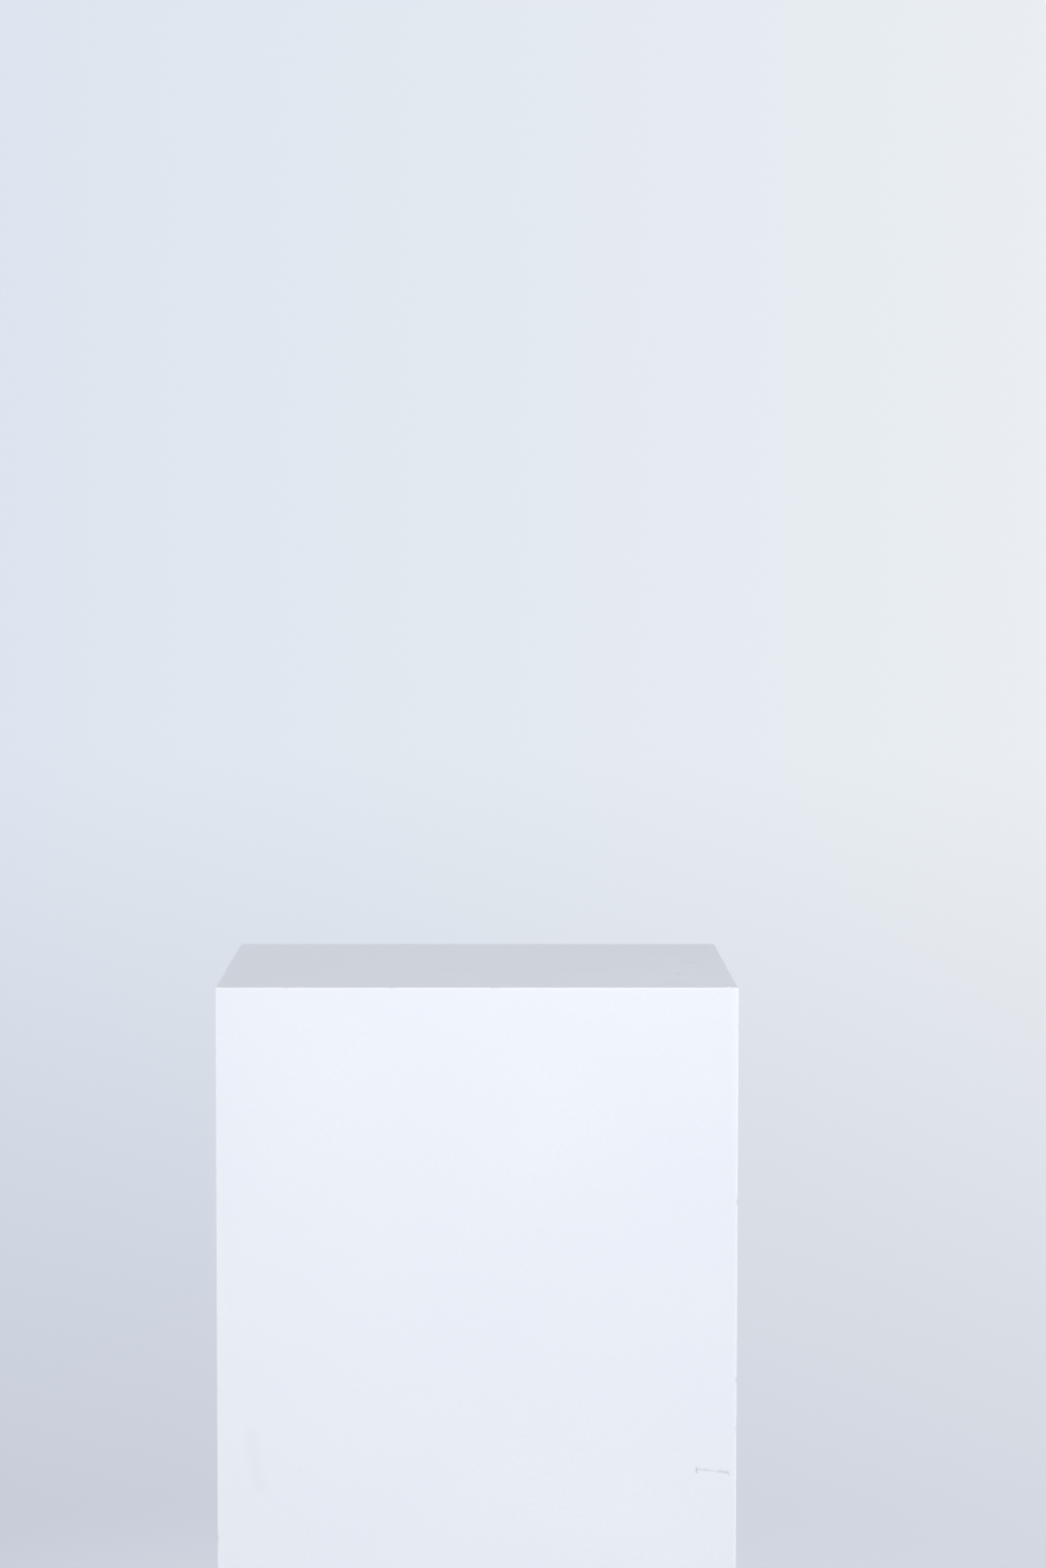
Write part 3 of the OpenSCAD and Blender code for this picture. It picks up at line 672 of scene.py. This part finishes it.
def make_plywood(name, node):
    """Sanded birch plywood under a thin sealer: pale, faintly figured veneer, and edges striped by
    plies that show their grain and their dark end grain in turn."""
    material, tree, place = new_material(name)
    low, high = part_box(node)
    plies = 2 * round((high.z - low.z) / ply_t / 2) + 1
    veneer_t = (high.z - low.z) / plies
    height = add(tree, "SeparateXYZ", [place]).outputs["Z"]
    level = add(tree, "MapRange", [height, low.z, low.z + 2 * veneer_t, 0, 1], clamp=False)
    share = add(tree, "Math", [level], operation="FRACT")
    end_grain = add(tree, "MapRange", [share, 0.48, 0.52, 0, 1])
    lengthwise = add(tree, "Mapping", {"Vector": place, "Scale": (0.05, 1, 1)})
    figure = add(tree, "TexNoise", {"Vector": lengthwise, "Scale": 1 / (14 * mm), "Detail": 5,
                                    "Distortion": 0.6})
    figured = add(tree, "MapRange", [figure, 0.38, 0.66, 0, 1])
    pores = add(tree, "TexNoise", {"Vector": lengthwise, "Scale": 1 / (0.9 * mm), "Detail": 3})
    flecks = add(tree, "MapRange", [pores, 0.56, 0.7, 0, 0.4])
    veneer = add(tree, "Mix", {"Factor": figured, "A": linear("#e3cca6"), "B": linear("#d5b98b")},
                 data_type="RGBA")
    veneer = add(tree, "Mix", {"Factor": flecks, "A": veneer, "B": linear("#a9855a")}, data_type="RGBA")
    speckle = add(tree, "TexNoise", {"Vector": place, "Scale": 1 / (1.1 * mm), "Detail": 4})
    sawn = add(tree, "Mix", {"Factor": speckle, "A": linear("#cba271"), "B": linear("#986f42")},
               data_type="RGBA")
    edge = add(tree, "Mix", {"Factor": end_grain, "A": veneer, "B": sawn}, data_type="RGBA")
    facing = add(tree, "SeparateXYZ", [add(tree, "NewGeometry", []).outputs["True Normal"]]).outputs["Z"]
    flat = add(tree, "Math", [facing], operation="ABSOLUTE")
    on_face = add(tree, "Math", [flat, 0.7], operation="GREATER_THAN")
    colour = add(tree, "Mix", {"Factor": on_face, "A": edge, "B": veneer}, data_type="RGBA")
    sealed = add(tree, "MapRange", [figure, 0.3, 0.7, 0.42, 0.55])
    sanded = add(tree, "Bump", {"Height": pores, "Distance": 0.05 * mm, "Strength": 0.5})
    shader = add(tree, "BsdfPrincipled", {"Base Color": colour, "Roughness": sealed, "Normal": sanded})
    add(tree, "OutputMaterial", {"Surface": shader})
    return material


for node in ("diaphragm", "base_board"):
    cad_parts[node].material_slots[0].material = make_plywood("birch_plywood_" + node, node)

# ---- Tee nuts ----
# Stamped from mild steel and zinc plated: a flange with a drawn, threaded barrel, and four prongs
# cut from the flange's rim and bent up. They are hammered into the base board from below.
nut_low, nut_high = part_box("front_left_tee_nut")
flange_r = (nut_high.x - nut_low.x) / 2
flange_t = 1.6 * mm
bore_r = 5 * mm
barrel_wall = 1.1 * mm
barrel_r = bore_r + barrel_wall
barrel_top = nut_high.z - nut_low.z
prong_t = 1.2 * mm
prong_w = 5 * mm
prong_tip_w = 1.2 * mm
prong_h = 8 * mm
prong_in = flange_r - prong_t - mm
prong_count = 4
stamped_ease = 0.35 * mm
round_steps = 64


def make_tee_nut():
    """A tee nut standing on the underside of its flange, at the origin."""
    blank = turned([(bore_r, 0), (flange_r, 0), (flange_r, flange_t), (barrel_r, flange_t),
                    (barrel_r, barrel_top), (bore_r, barrel_top)], round_steps, ring=True)
    round_edges(blank, stamped_ease)
    prongs, notches = bmesh.new(), bmesh.new()
    for i in range(prong_count):
        turn = Matrix.Rotation((i + 0.5) * 2 * math.pi / prong_count, 4, "Z")
        place = turn @ Matrix.Translation((prong_in + prong_t / 2, 0, flange_t + prong_h / 2 - mm / 2))
        blade = Matrix.Diagonal((prong_t, prong_w, prong_h + mm, 1))
        prong = bmesh.ops.create_cube(prongs, size=1, matrix=blade)
        tips = [vert for vert in prong["verts"] if vert.co.z > 0]
        bmesh.ops.scale(prongs, vec=(1, prong_tip_w / prong_w, 1), verts=tips)
        bmesh.ops.transform(prongs, matrix=place, verts=prong["verts"])
        notch_at = turn @ Matrix.Translation((prong_in + prong_t + mm, 0, 0))
        notch_size = Matrix.Diagonal((2 * mm, prong_w, 4 * flange_t, 1))
        bmesh.ops.create_cube(notches, size=1, matrix=notch_at @ notch_size)
    nut = joined("tee_nut", [blank, prongs])
    cut(nut, notches)
    return taken(nut)


zinc_feet = make_zinc("zinc_plated_fitting_steel", 0.35)
tee_nut = make_tee_nut()
for corner in corners:
    low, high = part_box(corner + "_tee_nut")
    foot_at = Matrix.Translation(((low.x + high.x) / 2, (low.y + high.y) / 2, low.z))
    piece_of(stamped(tee_nut, [foot_at]), corner + "_stamped_tee_nut", "carcass", "zinc_feet",
             corner + "_tee_nut", zinc_feet)
tee_nut.free()

# ---- Levelling feet ----
# An M10 stud, turned and rolled from steel and zinc plated, swivels in a moulded nylon pad that it
# is riveted into. The pad's rubber sole is glued in. A spanner on the hexagon screws the foot up
# or down in its tee nut.
stud_low, stud_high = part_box("front_left_foot_stud")
pad_low, pad_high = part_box("front_left_foot_pad")
sole_low, sole_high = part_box("front_left_foot_sole")
hex_af = stud_high.y - stud_low.y
hex_d = stud_high.x - stud_low.x
hex_h = 7 * mm
hex_bevel_h = 0.6 * mm
hex_rim_play = 0.05 * mm  # how far outside the hexagon's corners its bevelling tool runs
neck_ease = 0.3 * mm
shoulder_play = 0.1 * mm  # between the pad and the hexagon
turn_fit = 0.05 * mm      # between turning parts, on radius
hex_z = pad_high.z + shoulder_play
thread_r = bore_r - turn_fit
thread_pitch = 1.5 * mm
thread_h = 0.61 * thread_pitch
journal_r = 4 * mm
rivet_r = 7 * mm
rivet_t = 2 * mm
over = 1 * mm             # how far shapes that become one solid run into each other


def make_stud():
    """The stud where it stands under the middle of the box, at its real height."""
    crest, root = thread_r, thread_r - thread_h
    section = [(root, 0), (root, thread_pitch / 4), (crest, thread_pitch * 9 / 16),
               (crest, thread_pitch * 11 / 16), (root, thread_pitch)]
    rod = thread(section, thread_pitch, hex_z + hex_h - over, stud_high.z, round_steps // 2)
    for vert in rod.verts:
        allowed = crest - thread_h + max(0, stud_high.z - vert.co.z)
        distance = math.hypot(vert.co.x, vert.co.y)
        if distance > allowed:
            vert.co.x *= allowed / distance
            vert.co.y *= allowed / distance
    hexagon = bmesh.new()
    hexagon_at = Matrix.Translation((0, 0, hex_z + hex_h / 2)) @ Matrix.Rotation(quarter, 4, "Z")
    bmesh.ops.create_cone(hexagon, cap_ends=True, segments=6, radius1=hex_d / 2, radius2=hex_d / 2,
                          depth=hex_h, matrix=hexagon_at)
    nut = joined("stud", [hexagon])
    rim = hex_d / 2 + hex_rim_play
    blank = turned([(0, hex_z), (hex_af / 2, hex_z), (rim, hex_z + hex_bevel_h),
                    (rim, hex_z + hex_h - hex_bevel_h), (hex_af / 2, hex_z + hex_h),
                    (0, hex_z + hex_h)], round_steps)
    cut(nut, blank, "INTERSECT")
    neck = turned([(0, stud_low.z), (rivet_r, stud_low.z), (rivet_r, stud_low.z + rivet_t),
                   (journal_r, stud_low.z + rivet_t), (journal_r, hex_z + over),
                   (0, hex_z + over)], round_steps)
    round_edges(neck, neck_ease)
    cut(nut, neck, "UNION")
    cut(nut, rod, "UNION")
    return taken(nut)


def make_nylon():
    """Glass-filled nylon, injection moulded: near black, with the fine spark-eroded texture of the
    tool, greyed with floor dust low down."""
    material, tree, place = new_material("moulded_black_nylon")
    height = add(tree, "SeparateXYZ", [place]).outputs["Z"]
    low = add(tree, "MapRange", [height, pad_low.z + 5 * mm, pad_low.z, 0, 1])
    dirt = add(tree, "TexNoise", {"Vector": place, "Scale": 1 / (4 * mm), "Detail": 5, "Roughness": 0.65})
    settled = add(tree, "MapRange", [dirt, 0.35, 0.7, 0, 0.6])
    dusty = add(tree, "Math", [low, settled], operation="MULTIPLY")
    grain = add(tree, "TexNoise", {"Vector": place, "Scale": 1 / (0.6 * mm), "Detail": 3})
    glass = add(tree, "MapRange", [grain, 0.5, 0.75, 0, 0.5])
    moulded = add(tree, "Mix", {"Factor": glass, "A": linear("#1e2023"), "B": linear("#34373b")},
                  data_type="RGBA")
    colour = add(tree, "Mix", {"Factor": dusty, "A": moulded, "B": linear("#8b867c")}, data_type="RGBA")
    satin = add(tree, "MapRange", [grain, 0.3, 0.7, 0.42, 0.56])
    gloss = add(tree, "Mix", {"Factor": dusty, "A": satin, "B": 0.85})
    spark = add(tree, "Bump", {"Height": grain, "Distance": 0.03 * mm, "Strength": 0.7})
    shader = add(tree, "BsdfPrincipled", {"Base Color": colour, "Roughness": gloss, "Normal": spark})
    add(tree, "OutputMaterial", {"Surface": shader})
    return material


def make_rubber():
    """Nitrile rubber, die cut: matt black, with a bloom of floor dust on what touches the floor."""
    material, tree, place = new_material("black_nitrile_rubber")
    height = add(tree, "SeparateXYZ", [place]).outputs["Z"]
    touching = add(tree, "MapRange", [height, 0.5 * mm, 0, 0, 1])
    dirt = add(tree, "TexNoise", {"Vector": place, "Scale": 1 / (2.5 * mm), "Detail": 6, "Roughness": 0.7})
    settled = add(tree, "MapRange", [dirt, 0.4, 0.7, 0.1, 0.65])
    dusty = add(tree, "Math", [touching, settled], operation="MULTIPLY")
    colour = add(tree, "Mix", {"Factor": dusty, "A": linear("#1b1b1c"), "B": linear("#87827a")},
                 data_type="RGBA")
    matt = add(tree, "MapRange", [dirt, 0.3, 0.7, 0.72, 0.9])
    pitted = add(tree, "Bump", {"Height": dirt, "Distance": 0.05 * mm, "Strength": 0.6})
    shader = add(tree, "BsdfPrincipled", {"Base Color": colour, "Roughness": matt, "Normal": pitted})
    add(tree, "OutputMaterial", {"Surface": shader})
    return material


pad_r = (pad_high.x - pad_low.x) / 2
sole_r = (sole_high.x - sole_low.x) / 2
sole_fit = 0.1 * mm       # between the sole and its recess, on radius
pocket_play = 0.5 * mm    # round the rivet's head
pad_top_r = 15 * mm
pad_rim_h = 2.5 * mm
pad_ease = 0.4 * mm
sole_seat_r = sole_r + sole_fit
pocket_r = rivet_r + pocket_play
pocket_z = sole_high.z + rivet_t + pocket_play
journal_bore_r = journal_r + turn_fit
pad_shape = turned([
    (journal_bore_r, pad_high.z), (pad_top_r, pad_high.z), (pad_r, pad_low.z + pad_rim_h), (pad_r, pad_low.z),
    (sole_seat_r, pad_low.z), (sole_seat_r, sole_high.z), (pocket_r, sole_high.z), (pocket_r, pocket_z),
    (journal_bore_r, pocket_z),
], round_steps, ring=True)
round_edges(pad_shape, pad_ease)

groove_h = 0.8 * mm
sole_ease = 0.2 * mm
grooves = [(8 * mm, 10 * mm), (12.5 * mm, 14.5 * mm)]    # the grip's inner and outer radii
outline = [(0, 0)]
for inner, outer in grooves:
    outline += [(inner, 0), (inner, groove_h), (outer, groove_h), (outer, 0)]
sole_shape = turned([*outline, (sole_r, 0), (sole_r, sole_high.z), (0, sole_high.z)], round_steps)
round_edges(sole_shape, sole_ease, 2)

stud_shape = make_stud()
nylon = make_nylon()
rubber = make_rubber()
for corner in corners:
    low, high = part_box(corner + "_foot_pad")
    foot_at = Matrix.Translation(((low.x + high.x) / 2, (low.y + high.y) / 2, 0))
    piece_of(stamped(stud_shape, [foot_at]), corner + "_m10_stud", corner + "_stud", "zinc_feet",
             corner + "_foot_stud", zinc_feet)
    piece_of(stamped(pad_shape, [foot_at]), corner + "_nylon_pad", corner + "_pad", "nylon",
             corner + "_foot_pad", nylon)
    piece_of(stamped(sole_shape, [foot_at]), corner + "_rubber_sole", corner + "_pad", "rubber",
             corner + "_foot_sole", rubber)

# ---- Studio ----
# A pale floor that fades into a pale backdrop, one broad lamp by the camera, weaker ones at the
# sides and behind, and even light from all round. The floor can be seen through from below.
floor_r = 2.2
fade_from = 0.9
mottle_w = 2 / 3          # metres across a patch of the floor's faint mottle
floor = bmesh.new()
bmesh.ops.create_circle(floor, cap_ends=True, segments=round_steps, radius=floor_r)
floor_mesh = bpy.data.meshes.new("floor")
floor.to_mesh(floor_mesh)
floor.free()
floor_piece = bpy.data.objects.new("floor", floor_mesh)
bpy.context.scene.collection.objects.link(floor_piece)
floor_piece.visible_shadow = False
floor_piece.visible_diffuse = False
floor_piece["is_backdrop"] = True

floor_paint, tree, place = new_material("pale_floor")
mottle = add(tree, "TexNoise", {"Vector": place, "Scale": 1 / mottle_w, "Detail": 2})
colour = add(tree, "Mix", {"Factor": mottle, "A": linear("#e0e4ec"), "B": linear("#e6eaf1")},
             data_type="RGBA")
matt = add(tree, "BsdfPrincipled", {"Base Color": colour, "Roughness": 0.8})
radius = add(tree, "VectorMath", [place], operation="LENGTH").outputs["Value"]
far = add(tree, "MapRange", [radius, fade_from, floor_r, 0, 1], interpolation_type="SMOOTHSTEP")
behind = add(tree, "NewGeometry", []).outputs["Backfacing"]
open_share = add(tree, "Math", [far, behind], operation="MAXIMUM")
clear = add(tree, "BsdfTransparent", [])
seen = add(tree, "MixShader", [open_share, matt, clear])
add(tree, "OutputMaterial", {"Surface": seen})
floor_mesh.materials.append(floor_paint)

world = bpy.data.worlds.new("studio")
bpy.context.scene.world = world
world.use_nodes = True
tree = world.node_tree
tree.nodes.clear()
towards = add(tree, "SeparateXYZ", [add(tree, "TexCoord", []).outputs["Generated"]]).outputs
# The backdrop is painted darker towards the bottom and the left and lighter at the upper right: painted shade
# and light, as on a wall lit from the upper right
rise = add(tree, "MapRange", [towards["Z"], -0.27, -0.06, 0, 1])
aside = add(tree, "MapRange", [towards["X"], -0.16, 0.16, 0, 1])
left = add(tree, "Mix", {"Factor": rise, "A": linear("#c4c9d6"), "B": linear("#dbe4ef")}, data_type="RGBA")
right = add(tree, "Mix", {"Factor": rise, "A": linear("#d3d7e1"), "B": linear("#eaeef2")}, data_type="RGBA")
backdrop = add(tree, "Mix", {"Factor": aside, "A": left, "B": right}, data_type="RGBA")
path = add(tree, "LightPath", [])
seen = add(tree, "Math", [path.outputs["Is Camera Ray"], path.outputs["Is Glossy Ray"]], operation="MAXIMUM")
seen = add(tree, "Math", [seen, path.outputs["Is Transmission Ray"]], operation="MAXIMUM")
even = add(tree, "MapRange", [towards["Z"], 0, 1, 0.52, 0.33])
even_light = add(tree, "Background", {"Color": (1, 1, 1, 1), "Strength": even})
shown = add(tree, "Background", {"Color": backdrop, "Strength": 1})
add(tree, "OutputWorld", {"Surface": add(tree, "MixShader", [seen, even_light, shown])})

# Each lamp's place and width in metres, and its power in watts
lamps = {
    "front_lamp": (Vector((0.4, -3.2, 1.9)), 2, 63),
    "right_lamp": (Vector((3, 0.6, 1.3)), 1.8, 30),
    "left_lamp": (Vector((-3, 0.6, 1.3)), 1.8, 24),
    "back_lamp": (Vector((-0.6, 3.2, 1.3)), 1.8, 40),
}
for name, (at, width, power) in lamps.items():
    lamp = bpy.data.lights.new(name, "AREA")
    lamp.size = width
    lamp.energy = power
    holder = bpy.data.objects.new(name, lamp)
    holder.location = at
    holder.visible_glossy = at.y < 0     # the others would glare on the top
    holder.rotation_euler = (box_mid - at).to_track_quat("-Z", "Y").to_euler()
    bpy.context.scene.collection.objects.link(holder)

eye = bpy.data.cameras.new("camera")
eye.lens = 85
eye.sensor_width = 36
camera = bpy.data.objects.new("camera", eye)
eye_at = Matrix.Translation((0.005, -2.9626, 1.3474))
turned_right = math.radians(0.606)
tipped_down = math.radians(3.895)
rolled = math.radians(0.079)
camera.matrix_world = (eye_at @ Matrix.Rotation(-turned_right, 4, "Z")
                       @ Matrix.Rotation(quarter - tipped_down, 4, "X") @ Matrix.Rotation(rolled, 4, "Z"))
bpy.context.scene.collection.objects.link(camera)
bpy.context.scene.camera = camera
bpy.context.scene.view_settings.view_transform = "Standard"

low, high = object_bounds()
